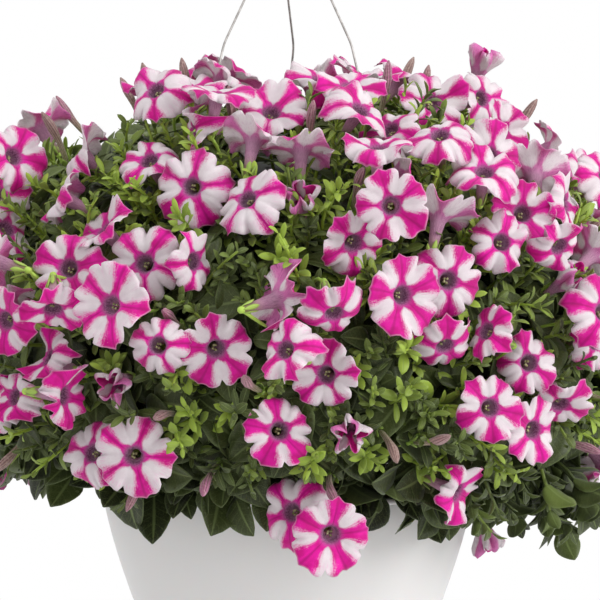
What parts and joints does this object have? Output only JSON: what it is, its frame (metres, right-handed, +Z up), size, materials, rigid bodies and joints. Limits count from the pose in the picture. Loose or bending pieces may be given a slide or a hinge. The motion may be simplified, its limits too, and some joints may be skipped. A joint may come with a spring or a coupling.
{
  "type": "hanging basket",
  "caption": "Hanging basket: tapered plastic pot on a three-strand wire hanger with a swivel hook, planted with a mound of petunias striped magenta and white, and a clip-on drip saucer.",
  "frame": {"origin": "seat of the hook: the highest point inside its bend, where a rod carries it", "axes": "+Z up along the hanger; the basket's front faces -Y; +X to the right seen from the front"},
  "size_m": [0.5167, 0.5556, 0.6895],
  "materials": {
    "zinc_fitting": "satin",
    "galvanised_wire": "satin",
    "pot_plastic": "satin",
    "saucer_plastic": "satin",
    "potting_mix": "matte",
    "root_ball": "matte",
    "green_stem": "satin",
    "leaf_green": "satin",
    "petal_striped": "matte",
    "petal_faded": "matte",
    "bud_mauve": "matte"
  },
  "bodies": {
    "hook": {"hanger_hook": "zinc_fitting"},
    "swivel": {"swivel_yoke": "zinc_fitting", "swivel_washer": "zinc_fitting", "yoke_pin": "zinc_fitting"},
    "basket": {"buds_front": "bud_mauve", "buds_left": "bud_mauve", "buds_right": "bud_mauve", "flowers_front_lower": "petal_striped", "flowers_front_middle": "petal_striped", "flowers_front_upper": "petal_striped", "flowers_left_lower": "petal_striped", "flowers_left_middle": "petal_striped", "flowers_left_upper": "petal_striped", "flowers_right_lower": "petal_striped", "flowers_right_middle": "petal_striped", "flowers_right_upper": "petal_striped", "foliage_front": "leaf_green", "foliage_left": "leaf_green", "foliage_right": "leaf_green", "hanger_wire_back": "galvanised_wire", "hanger_wire_left": "galvanised_wire", "hanger_wire_right": "galvanised_wire", "pot_shell": "pot_plastic", "potting_soil": "potting_mix", "root_plug_front": "root_ball", "root_plug_left": "root_ball", "root_plug_right": "root_ball", "spent_flowers_front": "petal_faded", "spent_flowers_left": "petal_faded", "spent_flowers_right": "petal_faded", "stems_front": "green_stem", "stems_left": "green_stem", "stems_right": "green_stem"},
    "saucer": {"drip_saucer": "saucer_plastic"}
  },
  "joints": [
    {"name": "swivel_turn", "type": "hinge", "parent": "hook", "child": "swivel", "pos_m": [0, 0, -0.057], "axis": [0, 0, 1], "continuous": true},
    {"name": "basket_sway", "type": "hinge", "parent": "swivel", "child": "basket", "pos_m": [0, 0, -0.076], "axis": [1, 0, 0], "range_deg": [-25, 25]},
    {"name": "saucer_pull", "type": "slide", "parent": "basket", "child": "saucer", "axis": [0, 0, -1], "range_m": [0, 0.022]}
  ]
}
